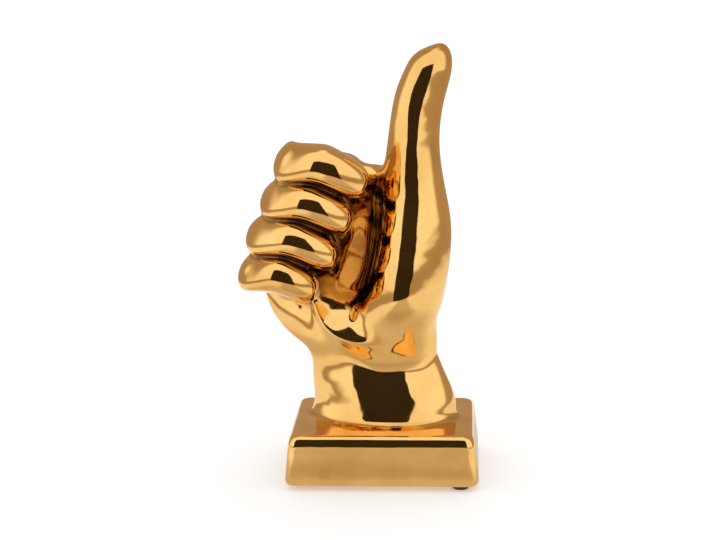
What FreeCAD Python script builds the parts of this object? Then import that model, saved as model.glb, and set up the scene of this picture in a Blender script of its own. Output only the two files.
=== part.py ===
"""Gold-glazed ceramic sculpture of a right hand, thumb up, standing on a rectangular plinth.

The hand is slip-cast: hollow castings for the plinth, the wrist and palm, and the thumb, and four
folded fingers, all luted together edge to edge, on four round pads.
Millimetres. +X is to the right as seen from the palm side, +Y points away from the viewer, +Z is up.
The origin is at the middle of the sculpture's footprint, on the surface that it stands on.
"""

import FreeCAD, Part
import math
import os

Vector = FreeCAD.Vector

# Plinth and its pads
PLINTH_WIDTH = 114.2
PLINTH_DEPTH = 84.0
PLINTH_HEIGHT = 30.7
PLINTH_SETBACK = 2.75
PLINTH_CORNER_RADIUS = 5.0
PLINTH_TOP_ROUNDING = 8.5
PLINTH_TOP_SETBACK = 4.0
PLINTH_FOOT_RADIUS = 3.0
PLINTH_FLOOR = 6.0
VENT_DIAMETER = 3.6
PAD_DIAMETER = 10.0
PAD_THICKNESS = 2.5
PAD_BEVEL = 0.6
PAD_SIDE_INSET = 11.0
PAD_FRONT_INSET = 9.5
PAD_REAR_INSET = 12.0
LOOSE_PAD_SHIFT = 9.0

# Castings
CASTING_WALL = 6.0
# A casting is hollow where it is deeper than this share of the wall
LEAST_ROOM_SHARE = 1.5
JOINT_OVERRUN = 1.0

# Wrist, from the plinth's top to the crease under the palm
WRIST_HEIGHT = 36.0
WRIST_WIDTH = 88.0
WRIST_DEPTH = 44.0

# Palm, from the crease to the crown behind the index finger
PALM_HEIGHT = 115.0
PALM_WIDTH = 104.0
PALM_DEPTH = 50.0
# The palm is hollow below this share of its height, where it is thick enough
PALM_HOLLOW_SHARE = 0.35

# Thumb, from the crease to its tip
THUMB_LENGTH = 186.0
THUMB_WIDTH = 44.0
THUMB_DEPTH = 44.0
THUMB_HOLLOW_RADIUS = 13.0
THUMB_HOLLOW_TIP_RADIUS = 6.5

# Fist: the fingers lie side by side, tilted down towards their tips
FIST_TILT = 21.5
STACK_TILT = 22.3
FIST_LEFT = 61.0
FIST_RISE = 55.3
FIST_FRONT = 34.0
FINGER_SQUEEZE = 0.8
INDEX_WIDTH = 25.4
INDEX_FOLD = 56.4
MIDDLE_WIDTH = 23.8
MIDDLE_FOLD = 55.5
RING_WIDTH = 23.8
RING_FOLD = 56.2
LITTLE_WIDTH = 23.4
LITTLE_FOLD = 48.2
FINGER_DEPTH = 44.0

# Each station of a casting: height, middle to the right, middle to the back, reach to the right, left,
# front and back, as shares of the casting's height, width, depth, width, width, depth and depth, then the
# degrees that the outline is turned to face right and tilted down at its right, and its squareness
WRIST_SHARES = (
    (-0.000, 0.017, 0.136, 0.494, 0.517, 0.614, 0.500, -8, 0, 1.9),
    (0.158, 0.011, 0.136, 0.491, 0.506, 0.573, 0.495, -8, 0, 1.9),
    (0.436, 0.000, 0.136, 0.480, 0.492, 0.498, 0.482, -8, 0, 1.9),
    (0.714, -0.023, 0.136, 0.457, 0.475, 0.427, 0.468, -8, 0, 1.9),
    (0.936, -0.040, 0.136, 0.438, 0.464, 0.377, 0.459, -8, 0, 1.9),
)
PALM_SHARES = (
    (0.032, -0.048, 0.120, 0.365, 0.413, 0.316, 0.410, -8, 1, 1.9),
    (0.084, -0.077, 0.120, 0.385, 0.462, 0.302, 0.420, -8, 2, 1.9),
    (0.137, -0.115, 0.160, 0.413, 0.505, 0.304, 0.400, -8, 4, 1.9),
    (0.206, -0.163, 0.220, 0.452, 0.529, 0.268, 0.340, -8, 9, 2.1),
    (0.328, -0.173, 0.350, 0.462, 0.529, 0.230, 0.240, -8, 13, 2.1),
    (0.432, -0.115, 0.410, 0.423, 0.500, 0.190, 0.190, -8, 15, 2.1),
    (0.537, -0.067, 0.406, 0.375, 0.476, 0.190, 0.190, -8, 17, 2.1),
    (0.676, -0.048, 0.386, 0.327, 0.433, 0.190, 0.190, -8, 20, 2.1),
    (0.823, -0.048, 0.346, 0.269, 0.365, 0.190, 0.190, -8, 21, 2.1),
    (0.937, -0.038, 0.280, 0.178, 0.260, 0.150, 0.150, -8, 21, 2.1),
    (0.980, -0.035, 0.260, 0.090, 0.135, 0.080, 0.090, -8, 21, 2.1),
)
PALM_CROWN_SHARES = (1.003, -0.030, 0.240)
THUMB_SHARES = (
    (0.031, 0.114, 0.045, 0.500, 0.545, 0.295, 0.318, -8, 0, 1.85),
    (0.084, 0.205, 0.000, 0.477, 0.591, 0.420, 0.386, -8, 0, 1.85),
    (0.140, 0.261, -0.023, 0.486, 0.614, 0.518, 0.432, -8, 0, 1.85),
    (0.195, 0.307, -0.045, 0.514, 0.591, 0.575, 0.477, -8, 0, 1.85),
    (0.270, 0.352, -0.045, 0.532, 0.534, 0.586, 0.455, -8, 0, 1.85),
    (0.350, 0.386, -0.045, 0.541, 0.489, 0.534, 0.432, -8, 0, 1.85),
    (0.430, 0.420, -0.023, 0.520, 0.461, 0.489, 0.409, -8, 0, 1.85),
    (0.525, 0.461, 0.000, 0.427, 0.466, 0.432, 0.375, -8, 0, 1.85),
    (0.630, 0.466, 0.023, 0.345, 0.418, 0.364, 0.341, -8, 2, 1.85),
    (0.730, 0.473, 0.034, 0.318, 0.366, 0.318, 0.318, -8, 8, 1.85),
    (0.830, 0.518, 0.045, 0.325, 0.336, 0.284, 0.295, -8, 12, 1.85),
    (0.905, 0.618, 0.068, 0.309, 0.318, 0.273, 0.273, -8, 10, 1.85),
    (0.955, 0.693, 0.080, 0.266, 0.286, 0.250, 0.239, -8, 6, 1.85),
    (0.985, 0.727, 0.091, 0.200, 0.200, 0.182, 0.182, -8, 0, 1.85),
)
THUMB_TIP_SHARES = (1.005, 0.741, 0.091)
THUMB_HOLLOW_START_SHARES = (0.20, 0.38, -0.06)
THUMB_HOLLOW_END_SHARES = (0.83, 0.50, 0.05)
# A folded finger's stations from its knuckle end to its tip: along, offset across, half width, front,
# back, as shares of the fold's length, the finger's width (twice) and its depth behind the fist's front
FOLD_SHARES = (
    (0.01, -0.24, 0.19, 0.5, 0.64),
    (0.045, -0.23, 0.365, 0.41, 0.72),
    (0.1, -0.215, 0.48, 0.32, 0.79),
    (0.19, -0.2, 0.5, 0.2, 0.86),
    (0.29, -0.12, 0.5, 0.092, 0.93),
    (0.37, -0.06, 0.5, 0.036, 0.97),
    (0.45, -0.01, 0.5, 0.012, 0.98),
    (0.55, 0, 0.485, 0, 0.96),
    (0.66, -0.01, 0.465, 0.01, 0.93),
    (0.77, -0.035, 0.435, 0.04, 0.9),
    (0.86, -0.06, 0.395, 0.09, 0.87),
    (0.935, -0.08, 0.325, 0.16, 0.8),
    (0.982, -0.09, 0.19, 0.29, 0.67),
)
FOLD_CORNER_SHARE = 0.45
FOLD_TURN = -14
FOLD_START_SHARES = (0, -0.245, 0.57)
FOLD_END_SHARES = (1, -0.095, 0.47)
# The knuckle bar behind the fold: where it starts and ends, along the fold, across the finger and behind
# the fist's front, as shares of the fold's length, the finger's width and its depth
BAR_START_SHARES = (0.24, -0.17, 0.51)
BAR_END_SHARES = (0.72, -0.2, 1.12)
# Its radii there, as shares of the finger's width
BAR_START_RADIUS_SHARE = 0.47
BAR_END_RADIUS_SHARE = 0.50

# The stations round the plinth's top edge, from its side to its top
ROUNDING_DEGREES = (0, 20, 40, 60, 78, 90)
# The stations round its foot, from its underside to its side
FOOT_DEGREES = (0, 30, 60, 85)
FOLD_SQUARE_SHARE = 2.7
SECTION_POLE_COUNT = 16
INSIDE_STEP_COUNT = 2
TOUCH = 0.001

PLINTH_BOTTOM = PAD_THICKNESS
PLINTH_TOP = PLINTH_BOTTOM + PLINTH_HEIGHT
CREASE_HEIGHT = PLINTH_TOP + WRIST_HEIGHT
ACROSS = Vector(1, 0, 0)
FORWARD = Vector(0, -1, 0)
UP = Vector(0, 0, 1)


def tilted(direction, degrees):
    """The direction turned about the viewer's line of sight, clockwise as the viewer sees it."""
    return FreeCAD.Rotation(Vector(0, 1, 0), degrees).multVec(direction)


def section_wire(middle, side, facing, reaches, squareness):
    """A smooth closed outline, rounder or squarer, in two halves that meet at its front and its back.

    The reaches are those to the side, away from it, to the front and to the back.
    """
    right, left, front, back = reaches
    # A uniform cubic spline runs inside its control polygon by this factor.
    swell = 3 / (2 + math.cos(2 * math.pi / SECTION_POLE_COUNT))
    poles = []
    for index in range(SECTION_POLE_COUNT):
        turn = 2 * math.pi * (index / SECTION_POLE_COUNT - 1 / 4)
        across = math.copysign(abs(math.cos(turn)) ** (2 / squareness), math.cos(turn))
        along = math.copysign(abs(math.sin(turn)) ** (2 / squareness), math.sin(turn))
        width = right if across > 0 else left
        depth = front if along > 0 else back
        poles.append(middle + side * (across * width * swell) + facing * (along * depth * swell))
    curve = Part.BSplineCurve()
    knots = [float(index) for index in range(SECTION_POLE_COUNT + 1)]
    curve.buildFromPolesMultsKnots(poles, [1] * len(knots), knots, True, 3)
    half = SECTION_POLE_COUNT / 2
    return Part.Wire([curve.toShape(0, half), curve.toShape(half, 2 * half)])


def lofted_solid(sections, ruled):
    """The solid through the sections, whose first and last may be single points."""
    solid = Part.makeLoft(sections, True, ruled)
    return solid if solid.Volume > 0 else solid.reversed()


def largest(shape):
    """The biggest solid of a cut shape, without the crumbs of a grazing cut."""
    return max(shape.Solids, key=lambda solid: solid.Volume)


def casting_outlines(stations, foot, height, width, depth, inset):
    """The outlines of a casting at its stations, inset by a wall where there is room for one."""
    outlines = []
    for rise, middle, setback, right, left, front, back, turn, tilt, squareness in stations:
        room = min(right * width, left * width, front * depth, back * depth)
        if room < inset * LEAST_ROOM_SHARE:
            continue
        centre = Vector(middle * width, setback * depth, foot + rise * height)
        turned = FreeCAD.Rotation(UP, turn)
        reaches = (right * width - inset, left * width - inset, front * depth - inset, back * depth - inset)
        outlines.append(section_wire(centre, tilted(turned.multVec(ACROSS), tilt),
                                     tilted(turned.multVec(FORWARD), tilt), reaches, squareness))
    return outlines


def end_point(shares, foot, height, width, depth):
    """The single point that closes the top of a casting."""
    rise, middle, setback = shares
    return Part.Vertex(Vector(middle * width, setback * depth, foot + rise * height))


def palm_form():
    """The wrist and palm as one solid."""
    outlines = casting_outlines(WRIST_SHARES, PLINTH_TOP, WRIST_HEIGHT, WRIST_WIDTH, WRIST_DEPTH, 0)
    outlines += casting_outlines(PALM_SHARES, CREASE_HEIGHT, PALM_HEIGHT, PALM_WIDTH, PALM_DEPTH, 0)
    outlines.append(end_point(PALM_CROWN_SHARES, CREASE_HEIGHT, PALM_HEIGHT, PALM_WIDTH, PALM_DEPTH))
    return lofted_solid(outlines, False)


def plain_stations(stations):
    """Every second station, as a plain oval, for the hollow inside a casting."""
    return tuple(station[:9] + (2,) for station in stations[::INSIDE_STEP_COUNT])


def palm_hollow():
    """The space inside the wrist and the heel of the palm, which goes down through the plinth's top."""
    lowest = (-(CASTING_WALL + JOINT_OVERRUN) / WRIST_HEIGHT,) + plain_stations(WRIST_SHARES)[0][1:]
    outlines = casting_outlines((lowest,) + plain_stations(WRIST_SHARES)[1:], PLINTH_TOP, WRIST_HEIGHT,
                                WRIST_WIDTH, WRIST_DEPTH, CASTING_WALL)
    heel = [station for station in PALM_SHARES if station[0] < PALM_HOLLOW_SHARE]
    outlines += casting_outlines(plain_stations(heel[1:]), CREASE_HEIGHT, PALM_HEIGHT, PALM_WIDTH,
                                 PALM_DEPTH, CASTING_WALL)
    return lofted_solid(outlines, True)


def thumb_form():
    """The thumb with the ball of muscle at its root."""
    outlines = casting_outlines(THUMB_SHARES, CREASE_HEIGHT, THUMB_LENGTH, THUMB_WIDTH, THUMB_DEPTH, 0)
    outlines.append(end_point(THUMB_TIP_SHARES, CREASE_HEIGHT, THUMB_LENGTH, THUMB_WIDTH, THUMB_DEPTH))
    return lofted_solid(outlines, False)


def thumb_hollow():
    """The space inside the thumb, a plain taper."""
    first = end_point(THUMB_HOLLOW_START_SHARES, CREASE_HEIGHT, THUMB_LENGTH, THUMB_WIDTH, THUMB_DEPTH).Point
    last = end_point(THUMB_HOLLOW_END_SHARES, CREASE_HEIGHT, THUMB_LENGTH, THUMB_WIDTH, THUMB_DEPTH).Point
    along = last - first
    return Part.makeCone(THUMB_HOLLOW_RADIUS, THUMB_HOLLOW_TIP_RADIUS, along.Length, first, along)


def finger_places(corner, width, fold):
    """A function that gives the point at shares along, across and behind the front of one finger."""
    down = tilted(ACROSS, FIST_TILT)
    across = tilted(UP, FIST_TILT)
    start = corner - down * (FOLD_CORNER_SHARE * fold)

    def place(along, offset, depth):
        return start + down * (along * fold) + across * (offset * width) - FORWARD * (depth * FINGER_DEPTH)

    return place


def fold_form(place, width):
    """The folded part of a finger that shows from the front, from its knuckle end to its tip."""
    lean = FreeCAD.Rotation(tilted(ACROSS, FIST_TILT), FOLD_TURN)
    across = lean.multVec(tilted(UP, FIST_TILT))
    facing = lean.multVec(FORWARD)
    sections = [Part.Vertex(place(*FOLD_START_SHARES))]
    for along, offset, half_width, front, back in FOLD_SHARES:
        half_depth = (back - front) / 2 * FINGER_DEPTH
        centre = place(along, offset, (front + back) / 2)
        reaches = (half_width * width, half_width * width, half_depth, half_depth)
        sections.append(section_wire(centre, across, facing, reaches, FOLD_SQUARE_SHARE))
    sections.append(Part.Vertex(place(*FOLD_END_SHARES)))
    return lofted_solid(sections, False)


def knuckle_bar(place, width):
    """The length of finger between its two knuckles, turned about its own axis, with round ends."""
    first = place(*BAR_START_SHARES)
    last = place(*BAR_END_SHARES)
    length = (last - first).Length
    first_radius = BAR_START_RADIUS_SHARE * width
    last_radius = BAR_END_RADIUS_SHARE * width
    bend = math.sqrt(1 / 2)
    bottom = Vector(0, 0, -first_radius)
    foot = Vector(first_radius, 0, 0)
    head = Vector(last_radius, 0, length)
    top = Vector(0, 0, length + last_radius)
    profile = Part.Wire([
        Part.Arc(bottom, Vector(first_radius * bend, 0, -first_radius * bend), foot).toShape(),
        Part.makeLine(foot, head),
        Part.Arc(head, Vector(last_radius * bend, 0, length + last_radius * bend), top).toShape(),
        Part.makeLine(top, bottom),
    ])
    turned = Part.Face(profile).revolve(Vector(0, 0, 0), UP, 360)
    turned.Placement = FreeCAD.Placement(first, FreeCAD.Rotation(UP, last - first))
    return turned


def rounded_rectangle(width, depth, radius, height):
    """A closed outline with round corners, in the middle of the plinth at one height."""
    corners = [Vector(sx * (width / 2 - radius), sy * (depth / 2 - radius), height)
               for sx, sy in ((1, 1), (-1, 1), (-1, -1), (1, -1))]
    arcs = [Part.makeCircle(radius, corner, UP, 90 * index, 90 * index + 90)
            for index, corner in enumerate(corners)]
    loop = []
    for arc, following in zip(arcs, arcs[1:] + arcs[:1]):
        side = Part.makeLine(arc.valueAt(arc.LastParameter), following.valueAt(following.FirstParameter))
        loop.extend([arc, side])
    return Part.Wire(loop)


def plinth_slab():
    """The solid slab, narrower at its top, whose top rounding is taller than it is deep."""
    lower_height = PLINTH_HEIGHT - PLINTH_TOP_ROUNDING
    lower_setback = PLINTH_SETBACK * lower_height / PLINTH_HEIGHT
    outlines = []
    for degrees in FOOT_DEGREES:
        angle = math.radians(degrees)
        setback = PLINTH_FOOT_RADIUS * (1 - math.sin(angle))
        outlines.append(rounded_rectangle(PLINTH_WIDTH - 2 * setback, PLINTH_DEPTH - 2 * setback,
                                          PLINTH_CORNER_RADIUS,
                                          PLINTH_BOTTOM + PLINTH_FOOT_RADIUS * (1 - math.cos(angle))))
    outlines.append(rounded_rectangle(PLINTH_WIDTH - 2 * lower_setback, PLINTH_DEPTH - 2 * lower_setback,
                                      PLINTH_CORNER_RADIUS, PLINTH_BOTTOM + lower_height))
    lower = Part.makeLoft(outlines, True, True)
    outlines = []
    for degrees in ROUNDING_DEGREES:
        angle = math.radians(degrees)
        setback = lower_setback + PLINTH_TOP_SETBACK * (1 - math.cos(angle))
        height = PLINTH_BOTTOM + lower_height + PLINTH_TOP_ROUNDING * math.sin(angle)
        outlines.append(rounded_rectangle(PLINTH_WIDTH - 2 * setback, PLINTH_DEPTH - 2 * setback,
                                          PLINTH_CORNER_RADIUS, height))
    return lower.fuse(Part.makeLoft(outlines, True, False))


def plinth_casting(throat):
    """The hollow plinth under the wrist, with a vent hole in its floor."""
    top_width = PLINTH_WIDTH - 2 * (PLINTH_SETBACK + PLINTH_TOP_SETBACK)
    top_depth = PLINTH_DEPTH - 2 * (PLINTH_SETBACK + PLINTH_TOP_SETBACK)
    inner_radius = PLINTH_CORNER_RADIUS / 2
    hollow = Part.makeLoft([rounded_rectangle(PLINTH_WIDTH - 2 * CASTING_WALL, PLINTH_DEPTH - 2 * CASTING_WALL,
                                              inner_radius, PLINTH_BOTTOM + PLINTH_FLOOR),
                            rounded_rectangle(top_width - 2 * CASTING_WALL, top_depth - 2 * CASTING_WALL,
                                              inner_radius, PLINTH_TOP - CASTING_WALL)], True, True)
    vent = Part.makeCylinder(VENT_DIAMETER / 2, PLINTH_FLOOR + 2 * JOINT_OVERRUN,
                             Vector(0, 0, PLINTH_BOTTOM - JOINT_OVERRUN))
    return plinth_slab().cut(hollow).cut(vent).cut(throat)


def pads():
    """The four stick-on pads; the front left one was stuck further in than the others."""
    left = -PLINTH_WIDTH / 2 + PAD_SIDE_INSET
    right = PLINTH_WIDTH / 2 - PAD_SIDE_INSET
    front = -PLINTH_DEPTH / 2 + PAD_FRONT_INSET
    rear = PLINTH_DEPTH / 2 - PAD_REAR_INSET
    places = {
        "front_left_pad": Vector(left, front + LOOSE_PAD_SHIFT, 0),
        "front_right_pad": Vector(right, front, 0),
        "rear_left_pad": Vector(left, rear, 0),
        "rear_right_pad": Vector(right, rear, 0),
    }
    made = {}
    for name, place in places.items():
        disc = Part.makeCylinder(PAD_DIAMETER / 2, PAD_THICKNESS, place)
        rim = [edge for edge in disc.Edges if edge.Closed and abs(edge.Vertexes[0].Z) < TOUCH]
        made[name] = disc.makeChamfer(PAD_BEVEL, rim)
    return made


def fingers(palm, thumb):
    """The four folded fingers, each trimmed where it meets the palm, the thumb and the one above it."""
    made = {}
    sizes = (
        ("little_finger", LITTLE_WIDTH, LITTLE_FOLD),
        ("ring_finger", RING_WIDTH, RING_FOLD),
        ("middle_finger", MIDDLE_WIDTH, MIDDLE_FOLD),
        ("index_finger", INDEX_WIDTH, INDEX_FOLD),
    )
    corner = Vector(-FIST_LEFT, -FIST_FRONT, CREASE_HEIGHT + FIST_RISE)
    width_before = None
    below = None
    for name, width, fold in sizes:
        if width_before:
            pitch = (width + width_before) / 2 - FINGER_SQUEEZE
            corner = corner + tilted(UP, STACK_TILT) * pitch
        width_before = width
        place = finger_places(corner, width, fold)
        whole = fold_form(place, width).fuse(knuckle_bar(place, width))
        trimmed = whole.cut(palm).cut(thumb)
        if below:
            trimmed = trimmed.cut(below)
        below = whole
        made[name] = largest(trimmed)
    return made


def build():
    palm_outside = palm_form()
    palm_inside = palm_hollow()
    thumb_outside = thumb_form()
    thumb_inside = thumb_hollow()
    nodes = {"plinth": plinth_casting(palm_inside)}
    nodes["wrist_and_palm"] = largest(palm_outside.cut(palm_inside).cut(thumb_inside))
    nodes["thumb"] = largest(thumb_outside.cut(palm_outside).cut(thumb_inside))
    nodes.update(fingers(palm_outside, thumb_outside))
    nodes.update(pads())
    return nodes


def centred(nodes):
    """The nodes, moved sideways so that the origin is at the middle of the whole footprint."""
    box = FreeCAD.BoundBox()
    for shape in nodes.values():
        box.add(shape.optimalBoundingBox())
    shift = Vector(-box.Center.x, -box.Center.y, 0)
    return {name: shape.translated(shift) for name, shape in nodes.items()}, shift


os.makedirs("parts", exist_ok=True)
finished, moved_by = centred(build())
for name, shape in finished.items():
    shape.exportStep("parts/" + name + ".step")
    print(name, "solids", len(shape.Solids), "valid", shape.isValid(), "cc %.1f" % (shape.Volume / 1000))
print("moved by %.2f %.2f" % (moved_by.x, moved_by.y))
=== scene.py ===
"""Looks of the gold-glazed ceramic hand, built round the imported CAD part.

The seven ceramic castings share one glaze, so they are shown as a glazed skin in two pieces, hand and
plinth, shaped from the CAD nodes themselves. The pads are shown as the CAD has them, in rubber.
Metres. +X is to the right as seen from the palm side, +Y away from that viewer, +Z up.
"""

import math

import bpy
import numpy as np
import openvdb
from mathutils import Matrix, Vector


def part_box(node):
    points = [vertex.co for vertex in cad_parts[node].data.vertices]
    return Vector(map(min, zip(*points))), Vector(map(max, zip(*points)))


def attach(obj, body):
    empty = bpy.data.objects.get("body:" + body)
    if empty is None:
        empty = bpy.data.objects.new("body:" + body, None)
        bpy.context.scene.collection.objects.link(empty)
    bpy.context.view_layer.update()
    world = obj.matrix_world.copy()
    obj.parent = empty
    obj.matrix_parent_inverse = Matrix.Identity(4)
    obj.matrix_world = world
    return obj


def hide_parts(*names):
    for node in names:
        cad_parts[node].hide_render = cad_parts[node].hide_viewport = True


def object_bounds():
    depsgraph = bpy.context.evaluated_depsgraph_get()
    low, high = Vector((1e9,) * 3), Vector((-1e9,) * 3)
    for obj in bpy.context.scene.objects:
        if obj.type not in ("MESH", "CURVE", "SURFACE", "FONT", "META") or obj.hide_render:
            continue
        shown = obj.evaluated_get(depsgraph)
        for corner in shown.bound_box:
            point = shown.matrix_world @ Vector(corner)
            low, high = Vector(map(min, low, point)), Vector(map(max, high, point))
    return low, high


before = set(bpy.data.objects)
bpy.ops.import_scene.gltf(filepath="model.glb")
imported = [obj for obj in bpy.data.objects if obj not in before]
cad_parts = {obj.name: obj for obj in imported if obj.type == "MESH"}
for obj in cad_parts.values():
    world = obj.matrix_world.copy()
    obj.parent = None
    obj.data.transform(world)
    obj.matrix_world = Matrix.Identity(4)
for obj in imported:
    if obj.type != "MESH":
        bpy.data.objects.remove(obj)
cad_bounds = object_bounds()

MM = 0.001


def millimetres(*values):
    """A place or a reach in metres, from its values in millimetres."""
    return tuple(value * MM for value in values)


FINGERS = ("little_finger", "ring_finger", "middle_finger", "index_finger")
PADS = ("front_left_pad", "front_right_pad", "rear_left_pad", "rear_right_pad")
HAND_NODES = ("wrist_and_palm", "thumb") + FINGERS

# The grid that holds the skin's distances. The margin and the band are in voxels.
VOXEL = 1.05 * MM
GRID_MARGIN = 10
BAND = 16

# The skin: the fillets where castings meet, its smoothing in voxels, and how far it lies inside the solids
THUMB_BLEND = 14 * MM
FINGER_BLEND = 2.2 * MM
FOOT_BLEND = 4.5 * MM
SKIN_SMOOTHING = 0.9
GAUSSIAN_SPAN = 3
GLAZE_INSET = 0.12 * MM
SETTLING_STEPS = 3
SPLIT_HEIGHT = 38 * MM

# Places on the hand: a middle in the frame, and the reach from it along each axis.
# The core keeps the hollow wrist closed where the crease over it is softened. The lean is in degrees.
CREASE = (millimetres(32, -12, 78), millimetres(44, 40, 34))
CREASE_SOFTENING = 5.0 * MM
WRIST_CORE = (millimetres(12, 6, 62), millimetres(36, 13, 38))
HEEL = (millimetres(2, 1.5, 107), millimetres(30, 28, 30))
HEEL_LEAN = 32
HEEL_BLEND = 7 * MM

# How far round a point the skin looks for its creases and its hollows
CREVICE_REACH = 4.0 * MM
HOLLOW_REACH = 12.0 * MM
FLAT_SHARE = 0.5
CREVICE_GAIN = 4

# Gold glaze. Each noise is its scale, detail and roughness, and a span is where a change starts and ends.
CLOUD_NOISE = (38.0, 4.0, 0.55)
STREAK_NOISE = (150.0, 2.0, 0.5)
HAZE_NOISE = (90.0, 5.0, 0.6)
WAVE_NOISE = (38.0, 2.0, 0.42)
GRAIN_NOISE = (900.0, 2.0, 0.5)
GOLD_DEEP = (0.84, 0.505, 0.160)
GOLD_PALE = (1.0, 0.645, 0.240)
# Painted shade: deep in the hollows the glaze turns towards this colour, standing in for the shade there
HOLLOW_PAINTED_SHADE = (0.44, 0.30, 0.16)
# The creases turn towards this dark brown: partly darker pooled glaze, partly painted shade
CREVICE_POOL_AND_SHADE = (0.22, 0.115, 0.050)
CLOUD_SPAN = (0.30, 0.72)
STREAK_SHARE = 0.2
CREVICE_POOL_AND_SHADE_SPAN = (0.28, 0.80)
HOLLOW_SHADE_SPAN = (0.05, 0.8)
HAZE_SPAN = (0.3, 0.75)
GLAZE_ROUGHNESS = (0.035, 0.10)
CREVICE_ROUGHNESS = 0.16
HAND_WAVES = 1.3 * MM
PLINTH_WAVES = 0.6 * MM
GRAIN_STRENGTH = 0.06
GRAIN_DEPTH = 0.05 * MM

# Pad rubber
RUBBER_NOISE = (700.0, 4.0, 0.5)
RUBBER_DARK = (0.018, 0.009, 0.005)
RUBBER_PALE = (0.050, 0.026, 0.014)
RUBBER_ROUGHNESS = 0.6
RUBBER_STRENGTH = 0.3
RUBBER_DEPTH = 0.1 * MM

# Floor, as the camera sees it
FLOOR_REACH = 6
FLOOR_COLOUR = (0.80, 0.80, 0.80)
FLOOR_LIFT = 0.28
PAINT_ROUGHNESS = 0.9

# The dark opening in front, as the glaze sees it. The azimuth is in degrees to the right of the front.
OPENING_AZIMUTH = -8
OPENING_DISTANCE = 0.42
OPENING_WIDTH = 0.46
OPENING_HEIGHTS = (0.012, 0.44)
OPENING_COLOUR = (0.034, 0.024, 0.014)

# The tent round it, as the glaze sees it. Each edge is where a change starts and ends, in degrees.
TENT_RADIUS = 2.4
TENT_LOW = 0.002
TENT_STEP = 2
TENT_GREY = (0.46, 0.35, 0.26)
TENT_BRIGHT = (1.08, 1.06, 1.02)
LEFT_EDGE = (-104, -86)
RIGHT_EDGE = (72, 90)
LOW_EDGE = (-1, 4)
CROWN_EDGE = (70, 84)

# The table under the tent. Each edge is in metres from the object's middle.
TABLE_REACH = 0.8
TABLE_RINGS = 41
TABLE_LIGHT = 0.85
FOOT_LIGHT = 0.45
FOOT_EDGE = (0.10, 0.18)
TABLE_EDGE = (0.36, 0.60)
FRONT_MIDDLE = 0.01
FRONT_SIDE_EDGE = (0.085, 0.14)
FRONT_EDGE = (0.06, 0.10)
FRONT_DIMMING = 0.65

# The photograph's camera. The target is from the plinth's middle, and the focal length is in its pixels.
IMAGE_WIDTH = 716
CAMERA_YAW = 3.76
CAMERA_PITCH = 13.62
CAMERA_ROLL = -0.99
CAMERA_DISTANCE = 989.73 * MM
TARGET_ACROSS = -14.162 * MM
TARGET_HEIGHT = 123.584 * MM
FOCAL_LENGTH = 1674.81
SENSOR_WIDTH = 36
CLIP_START = 0.05


def grid_box():
    """The lowest corner and the shape of the voxel grid that holds the whole object."""
    low, high = cad_bounds
    lowest = np.floor(np.array(low) / VOXEL).astype(int) - GRID_MARGIN
    highest = np.ceil(np.array(high) / VOXEL).astype(int) + GRID_MARGIN
    return lowest, highest - lowest


GRID_LOW, GRID_SHAPE = grid_box()
GRID_CORNER = tuple(int(value) for value in GRID_LOW)


def node_mesh(name):
    """Vertices and triangles of a CAD node."""
    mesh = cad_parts[name].data
    points = np.empty(len(mesh.vertices) * 3, np.float32)
    mesh.vertices.foreach_get("co", points)
    mesh.calc_loop_triangles()
    corners = np.empty(len(mesh.loop_triangles) * 3, np.int32)
    mesh.loop_triangles.foreach_get("vertices", corners)
    return points.reshape(-1, 3), corners.reshape(-1, 3)


def distances(name):
    """Signed distances to a CAD node over the grid, in metres, below zero inside."""
    points, corners = node_mesh(name)
    transform = openvdb.createLinearTransform(voxelSize=VOXEL)
    level = openvdb.FloatGrid.createLevelSetFromPolygons(points, triangles=corners, transform=transform,
                                                         halfWidth=BAND)
    field = np.empty(GRID_SHAPE, np.float32)
    level.copyToArray(field, ijk=GRID_CORNER)
    return field


def blended(first, second, reach):
    """The union of two distance fields, with a fillet of about that reach where they meet."""
    share = np.maximum(reach - np.abs(first - second), 0) / reach
    return np.minimum(first, second) - share * share * reach / 4


def smoothed(field, sigma):
    """The field after a Gaussian of sigma voxels along each axis, cut off a few sigmas out."""
    radius = max(1, math.ceil(GAUSSIAN_SPAN * sigma))
    offsets = np.arange(-radius, radius + 1)
    weights = np.exp(-offsets ** 2 / (2 * sigma ** 2))
    weights /= weights.sum()
    for axis in range(3):
        margins = [(radius, radius) if other == axis else (0, 0) for other in range(3)]
        padded = np.pad(field, margins, "edge")
        total = np.zeros_like(field)
        for index, weight in enumerate(weights):
            part = [slice(None)] * 3
            part[axis] = slice(index, index + field.shape[axis])
            total += np.float32(weight) * padded[tuple(part)]
        field = total
    return field


def sampled(field, points):
    """Trilinear samples of a grid field at points in metres."""
    place = points / VOXEL - GRID_LOW
    base = np.clip(np.floor(place).astype(int), 0, GRID_SHAPE - 2)
    part = place - base
    total = np.zeros(len(points))
    for corner in range(8):
        step = np.array([corner & 1, corner >> 1 & 1, corner >> 2 & 1])
        weight = np.prod(np.where(step, part, 1 - part), axis=1)
        index = base + step
        total += weight * field[index[:, 0], index[:, 1], index[:, 2]]
    return total


def gradient_at(slopes, points):
    """The direction in which the field grows, at points in metres."""
    found = np.stack([sampled(slope, points) for slope in slopes], axis=1)
    return found / (np.linalg.norm(found, axis=1, keepdims=True) + 1e-12)


def grid_axes(place):
    """The grid's three axes, measured from a place and shaped to be added together."""
    axes = []
    for index in range(3):
        along = (np.arange(GRID_SHAPE[index]) + GRID_LOW[index]) * VOXEL - place[index]
        axes.append(along.reshape([-1 if other == index else 1 for other in range(3)]).astype(np.float32))
    return axes


def egg_square(place, reach):
    """The squared share of the way out to an egg-shaped form's surface, over the grid."""
    return sum((axis / span) ** 2 for axis, span in zip(grid_axes(place), reach))


def egg(place, reach):
    """About the distance to an egg-shaped form."""
    return (np.sqrt(egg_square(place, reach)) - 1) * np.float32(min(reach))


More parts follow.
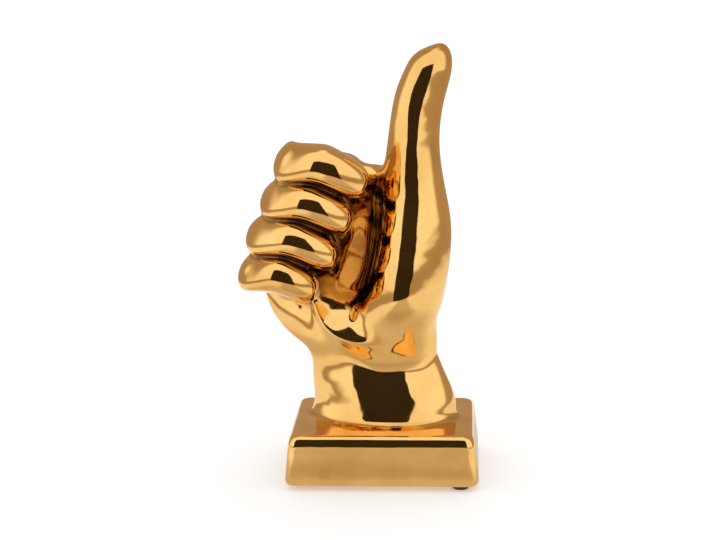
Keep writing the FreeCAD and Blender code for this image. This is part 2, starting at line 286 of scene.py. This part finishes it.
def behind_slope(place):
    """The distance in front of a plane through a place, leaning back as the heel of the hand does."""
    _, depth, height = grid_axes(place)
    lean = math.radians(HEEL_LEAN)
    return height * math.sin(lean) - depth * math.cos(lean)


def near(place, reach):
    """A weight over the grid that falls from 1 at a place to 0 at the reach from it."""
    return np.clip(1 - egg_square(place, reach), 0, 1) ** 2


def skin_field():
    """The distances to the whole glazed body, with its seams blended, its heel full and its crease soft."""
    fields = {name: distances(name) for name in HAND_NODES + ("plinth",)}
    body = blended(fields["wrist_and_palm"], fields["thumb"], THUMB_BLEND)
    for name in FINGERS:
        body = blended(body, fields[name], FINGER_BLEND)
    body = blended(body, fields["plinth"], FOOT_BLEND)
    heel = np.maximum(egg(*HEEL), behind_slope(HEEL[0]))
    body = blended(body, heel, HEEL_BLEND)
    body = np.minimum(body, egg(*WRIST_CORE))
    body += (smoothed(body, CREASE_SOFTENING / VOXEL) - body) * near(*CREASE)
    return body


def enclosure(field, points, reach):
    """How far each point lies in a hollow, 0 to 1, from the share of solid within a reach of it."""
    solid = smoothed((field < 0).astype(np.float32), reach / VOXEL)
    return np.clip((sampled(solid, points) - FLAT_SHARE) * CREVICE_GAIN, 0, 1)


def outermost(points, quads):
    """The faces of the largest of the loose shells, which is the outside."""
    label = np.arange(len(points))
    while True:
        lowest = label[quads].min(axis=1)
        before = label.copy()
        for side in range(4):
            np.minimum.at(label, quads[:, side], lowest)
        label = label[label]
        if (label == before).all():
            break
    labels, counts = np.unique(label, return_counts=True)
    return quads[label[quads[:, 0]] == labels[counts.argmax()]]


def piece_from(name, points, quads, normals, depths):
    """A mesh object of part of the skin, with its normals and the depths of its creases and hollows."""
    used, inverse = np.unique(quads, return_inverse=True)
    quads = inverse.reshape(quads.shape)
    mesh = bpy.data.meshes.new(name)
    mesh.vertices.add(len(used))
    mesh.vertices.foreach_set("co", points[used].astype(np.float32).ravel())
    mesh.loops.add(quads.size)
    mesh.loops.foreach_set("vertex_index", quads.astype(np.int32).ravel())
    mesh.polygons.add(len(quads))
    mesh.polygons.foreach_set("loop_start", np.arange(0, quads.size, 4, dtype=np.int32))
    mesh.update(calc_edges=True)
    mesh.validate()
    mesh.polygons.foreach_set("use_smooth", np.ones(len(mesh.polygons), bool))
    mesh.normals_split_custom_set_from_vertices(normals[used].tolist())
    for label, depth in depths.items():
        layer = mesh.attributes.new(label, "FLOAT", "POINT")
        layer.data.foreach_set("value", depth[used].astype(np.float32))
    obj = bpy.data.objects.new(name, mesh)
    bpy.context.scene.collection.objects.link(obj)
    return obj


def glazed_skin():
    """The hand and the plinth as two smooth pieces that meet under the wrist."""
    field = smoothed(skin_field(), SKIN_SMOOTHING)
    level = openvdb.FloatGrid(background=BAND * VOXEL)
    level.copyFromArray(field, ijk=GRID_CORNER)
    level.transform = openvdb.createLinearTransform(voxelSize=VOXEL)
    points, quads = level.convertToQuads(isovalue=-GLAZE_INSET)
    points = points.astype(float)
    quads = outermost(points, quads.astype(int))
    slopes = np.gradient(field, VOXEL)
    for _ in range(SETTLING_STEPS):
        normals = gradient_at(slopes, points)
        points -= normals * (sampled(field, points) + GLAZE_INSET)[:, None]
    normals = gradient_at(slopes, points)
    depths = {"crevice": enclosure(field, points, CREVICE_REACH),
              "hollow": enclosure(field, points, HOLLOW_REACH)}
    turn = np.cross(points[quads[:, 1]] - points[quads[:, 0]], points[quads[:, 2]] - points[quads[:, 0]])
    if (turn * normals[quads[:, 0]]).sum() < 0:
        quads = quads[:, ::-1]
    upper = points[quads][:, :, 2].mean(axis=1) > SPLIT_HEIGHT
    hand = piece_from("glazed_hand", points, quads[upper], normals, depths)
    plinth = piece_from("glazed_plinth", points, quads[~upper], normals, depths)
    return hand, plinth


def new_material(name):
    """A node material, its tree and its shader."""
    material = bpy.data.materials.new(name)
    material.use_nodes = True
    return material, material.node_tree, material.node_tree.nodes["Principled BSDF"]


def add_node(tree, kind, **inputs):
    """A new node with its inputs set by name, an underscore standing for a space."""
    node = tree.nodes.new(kind)
    for name, value in inputs.items():
        node.inputs[name.replace("_", " ")].default_value = value
    return node


def noise(tree, scale, detail, roughness):
    """Noise in the object's own space."""
    where = tree.nodes.new("ShaderNodeTexCoord")
    node = add_node(tree, "ShaderNodeTexNoise", Scale=scale, Detail=detail, Roughness=roughness)
    tree.links.new(where.outputs["Object"], node.inputs["Vector"])
    return node.outputs["Fac"]


def attribute(tree, name):
    """A value that the mesh keeps at its points."""
    node = tree.nodes.new("ShaderNodeAttribute")
    node.attribute_name = name
    return node.outputs["Fac"]


def combined(tree, operation, *values):
    """The result of a sum on sockets and numbers."""
    node = tree.nodes.new("ShaderNodeMath")
    node.operation = operation
    for socket, value in zip(node.inputs, values):
        if isinstance(value, bpy.types.NodeSocket):
            tree.links.new(value, socket)
        else:
            socket.default_value = value
    return node.outputs[0]


def ranged(tree, value, span, results=(0.0, 1.0)):
    """A value taken from its own span to the span of its results."""
    node = add_node(tree, "ShaderNodeMapRange", From_Min=span[0], From_Max=span[1], To_Min=results[0],
                    To_Max=results[1])
    tree.links.new(value, node.inputs["Value"])
    return node.outputs["Result"]


def ramp(tree, value, span, colours):
    """A colour that runs from the first to the second as a value crosses its span."""
    node = tree.nodes.new("ShaderNodeValToRGB")
    for element, position, colour in zip(node.color_ramp.elements, span, colours):
        element.position = position
        element.color = (*colour, 1)
    tree.links.new(value, node.inputs["Fac"])
    return node.outputs["Color"]


def tinted(tree, share, colour, tint):
    """A colour that turns into a tint by a share."""
    node = tree.nodes.new("ShaderNodeMix")
    node.data_type = "RGBA"
    tree.links.new(share, node.inputs["Factor"])
    tree.links.new(colour, node.inputs["A"])
    node.inputs["B"].default_value = (*tint, 1)
    return node.outputs["Result"]


def bumped(tree, height, strength, depth, under=None):
    """Normals with a relief, on top of those of another relief where one is given."""
    node = add_node(tree, "ShaderNodeBump", Strength=strength, Distance=depth)
    tree.links.new(height, node.inputs["Height"])
    if under:
        tree.links.new(under, node.inputs["Normal"])
    return node.outputs["Normal"]


def gold_glaze(name, wave_depth):
    """Mirror gold lustre over ceramic: cloudy tone, fine specks, creases darkened by pooled glaze and
    painted shade, and painted shade in the hollows.
    """
    material, tree, shader = new_material(name)
    shader.inputs["Metallic"].default_value = 1.0
    tone = ramp(tree, noise(tree, *CLOUD_NOISE), CLOUD_SPAN, (GOLD_DEEP, GOLD_PALE))
    streaks = noise(tree, *STREAK_NOISE)
    # Creases darkened partly as pooled glaze and partly as painted shade; the same mask also roughens them
    streaky = combined(tree, "MULTIPLY_ADD", streaks, STREAK_SHARE, attribute(tree, "crevice"))
    pooled_and_shaded = ranged(tree, streaky, CREVICE_POOL_AND_SHADE_SPAN)
    # Painted shade: the tone is darkened in the hollows
    shaded = tinted(tree, ranged(tree, attribute(tree, "hollow"), HOLLOW_SHADE_SPAN), tone, HOLLOW_PAINTED_SHADE)
    tree.links.new(tinted(tree, pooled_and_shaded, shaded, CREVICE_POOL_AND_SHADE), shader.inputs["Base Color"])
    dull = ranged(tree, noise(tree, *HAZE_NOISE), HAZE_SPAN, GLAZE_ROUGHNESS)
    worn = combined(tree, "MULTIPLY_ADD", pooled_and_shaded, CREVICE_ROUGHNESS, dull)
    tree.links.new(worn, shader.inputs["Roughness"])
    waves = bumped(tree, noise(tree, *WAVE_NOISE), 1.0, wave_depth)
    grain = bumped(tree, noise(tree, *GRAIN_NOISE), GRAIN_STRENGTH, GRAIN_DEPTH, waves)
    tree.links.new(grain, shader.inputs["Normal"])
    return material


def pad_rubber():
    """Dark brown matte rubber with a fine grain."""
    material, tree, shader = new_material("pad_rubber")
    speck = noise(tree, *RUBBER_NOISE)
    tree.links.new(ramp(tree, speck, (0, 1), (RUBBER_DARK, RUBBER_PALE)), shader.inputs["Base Color"])
    shader.inputs["Roughness"].default_value = RUBBER_ROUGHNESS
    tree.links.new(bumped(tree, speck, RUBBER_STRENGTH, RUBBER_DEPTH), shader.inputs["Normal"])
    return material


def white_floor():
    """Pale paint that keeps the shadow and, to the camera and the glaze, ends in the white of the tent."""
    material, tree, shader = new_material("floor_white")
    shader.inputs["Base Color"].default_value = (*FLOOR_COLOUR, 1)
    shader.inputs["Roughness"].default_value = PAINT_ROUGHNESS
    shader.inputs["Specular IOR Level"].default_value = 0.0
    rays = tree.nodes.new("ShaderNodeLightPath").outputs
    seen = combined(tree, "MAXIMUM", rays["Is Camera Ray"], rays["Is Glossy Ray"])
    seen = combined(tree, "MAXIMUM", seen, rays["Is Transmission Ray"])
    shader.inputs["Emission Color"].default_value = (1, 1, 1, 1)
    tree.links.new(combined(tree, "MULTIPLY", seen, FLOOR_LIFT), shader.inputs["Emission Strength"])
    return material


def glow(name, colour):
    """A staging material that shines evenly, and the socket of its colour."""
    material, tree, _ = new_material(name)
    tree.nodes.clear()
    light = add_node(tree, "ShaderNodeEmission", Color=(*colour, 1), Strength=1.0)
    out = tree.nodes.new("ShaderNodeOutputMaterial")
    tree.links.new(light.outputs[0], out.inputs["Surface"])
    return material, light.inputs["Color"]


def staging(name, points, faces, material):
    """A staging object."""
    mesh = bpy.data.meshes.new(name)
    mesh.from_pydata(points, [], faces)
    mesh.materials.append(material)
    obj = bpy.data.objects.new(name, mesh)
    bpy.context.scene.collection.objects.link(obj)
    return obj


def only_reflected(obj):
    """Leaves a staging object to the glaze's reflections alone."""
    obj.visible_camera = False
    obj.visible_shadow = False
    obj.visible_diffuse = False
    obj.visible_transmission = False


def floor():
    """The pale floor that the camera sees."""
    reach = FLOOR_REACH
    corners = [(-reach, -reach, 0), (reach, -reach, 0), (reach, reach, 0), (-reach, reach, 0)]
    staging("floor", corners, [(0, 1, 2, 3)], white_floor())


def opening():
    """The dark opening of the tent: a card seen only in reflections, facing the object."""
    angle = math.radians(OPENING_AZIMUTH)
    middle = Vector((math.sin(angle), -math.cos(angle), 0)) * OPENING_DISTANCE
    along = Vector((math.cos(angle), math.sin(angle), 0)) * (OPENING_WIDTH / 2)
    low, high = (Vector((0, 0, height)) for height in OPENING_HEIGHTS)
    corners = [middle - along + low, middle + along + low, middle + along + high, middle - along + high]
    material, _ = glow("opening", OPENING_COLOUR)
    only_reflected(staging("opening", corners, [(0, 1, 2, 3)], material))


def eased(value, start, end):
    """0 before the start, 1 after the end, and a soft rise between."""
    share = min(max((value - start) / (end - start), 0), 1)
    return share * share * (3 - 2 * share)


def tent_shade(azimuth, elevation):
    """How bright the tent is at an azimuth, to the right of the front, and an elevation in degrees."""
    side = eased(azimuth, *LEFT_EDGE) * (1 - eased(azimuth, *RIGHT_EDGE))
    return max(side * eased(elevation, *LOW_EDGE), eased(elevation, *CROWN_EDGE))


def table_shade(across, away):
    """How bright the table is at a place: lit round the object, and greyer straight in front of it."""
    reach = math.hypot(across, away)
    front = (1 - eased(abs(across - FRONT_MIDDLE), *FRONT_SIDE_EDGE)) * eased(-away, *FRONT_EDGE)
    ring = FOOT_LIGHT + (1 - FOOT_LIGHT) * eased(reach, *FOOT_EDGE)
    return TABLE_LIGHT * ring * (1 - eased(reach, *TABLE_EDGE)) * (1 - FRONT_DIMMING * front)


def tent_cloth():
    """The tent's glow, from grey to bright by the shade that the mesh keeps at its points."""
    material, colour = glow("tent_cloth", TENT_BRIGHT)
    tree = material.node_tree
    cloth = tree.nodes.new("ShaderNodeMix")
    cloth.data_type = "RGBA"
    tree.links.new(attribute(tree, "shade"), cloth.inputs["Factor"])
    cloth.inputs["A"].default_value = (*TENT_GREY, 1)
    cloth.inputs["B"].default_value = (*TENT_BRIGHT, 1)
    tree.links.new(cloth.outputs["Result"], colour)
    return material


def ring_faces(rings, count):
    """Faces between rings that each have that count of points."""
    faces = []
    for row in range(rings - 1):
        for column in range(count):
            after = (column + 1) % count
            faces.append((row * count + column, row * count + after, (row + 1) * count + after,
                          (row + 1) * count + column))
    return faces


def tent():
    """The walls and the table as the glaze sees them: bright at the front and overhead, grey elsewhere."""
    azimuths = np.arange(-180, 180, TENT_STEP)
    rings = [(reach, 0) for reach in np.linspace(0, TABLE_REACH, TABLE_RINGS)]
    rings += [(TENT_RADIUS, elevation) for elevation in np.arange(0, 90 + TENT_STEP, TENT_STEP)]
    points = []
    shades = []
    for reach, elevation in rings:
        flat = reach * math.cos(math.radians(elevation))
        height = TENT_LOW + reach * math.sin(math.radians(elevation))
        for azimuth in azimuths:
            across = flat * math.sin(math.radians(azimuth))
            away = -flat * math.cos(math.radians(azimuth))
            points.append((across, away, height))
            on_tent = reach == TENT_RADIUS
            shades.append(tent_shade(azimuth, elevation) if on_tent else table_shade(across, away))
    walls = staging("tent_walls", points, ring_faces(len(rings), len(azimuths)), tent_cloth())
    layer = walls.data.attributes.new("shade", "FLOAT", "POINT")
    layer.data.foreach_set("value", np.array(shades, np.float32))
    only_reflected(walls)


def studio():
    """A pale tent, open at the front, over a pale floor in a white world."""
    world = bpy.data.worlds.new("tent")
    bpy.context.scene.world = world
    world.use_nodes = True
    sky = world.node_tree.nodes["Background"]
    sky.inputs["Color"].default_value = (1, 1, 1, 1)
    sky.inputs["Strength"].default_value = 1.0
    floor()
    opening()
    tent()


def main_camera():
    """The photograph's camera, fitted to the plinth's corners."""
    yaw, pitch, roll = math.radians(CAMERA_YAW), math.radians(CAMERA_PITCH), math.radians(CAMERA_ROLL)
    low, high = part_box("plinth")
    target = Vector(((low.x + high.x) / 2 + TARGET_ACROSS, 0, TARGET_HEIGHT))
    back = Vector((math.sin(yaw) * math.cos(pitch), -math.cos(yaw) * math.cos(pitch), math.sin(pitch)))
    right = Vector((math.cos(yaw), math.sin(yaw), 0))
    up = back.cross(right)
    across = right * math.cos(roll) + up * math.sin(roll)
    upward = up * math.cos(roll) - right * math.sin(roll)
    data = bpy.data.cameras.new("camera")
    data.sensor_width = SENSOR_WIDTH
    data.lens = FOCAL_LENGTH * SENSOR_WIDTH / IMAGE_WIDTH
    data.clip_start = CLIP_START
    camera = bpy.data.objects.new("camera", data)
    turn = Matrix((across, upward, back)).transposed().to_4x4()
    camera.matrix_world = Matrix.Translation(target + back * CAMERA_DISTANCE) @ turn
    bpy.context.scene.collection.objects.link(camera)
    bpy.context.scene.camera = camera


def build():
    """The glazed skin in place of the seven castings, the pads in rubber, and the studio round them."""
    rubber = pad_rubber()
    hand, plinth = glazed_skin()
    for piece, wave_depth in ((hand, HAND_WAVES), (plinth, PLINTH_WAVES)):
        piece.data.materials.append(gold_glaze("gold_" + piece.name, wave_depth))
        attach(piece, "root")
    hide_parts(*HAND_NODES)
    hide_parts("plinth")
    for name in PADS:
        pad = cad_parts[name]
        pad.data.materials.clear()
        pad.data.materials.append(rubber)
    studio()
    main_camera()


build()
bpy.context.scene.view_settings.view_transform = "Standard"
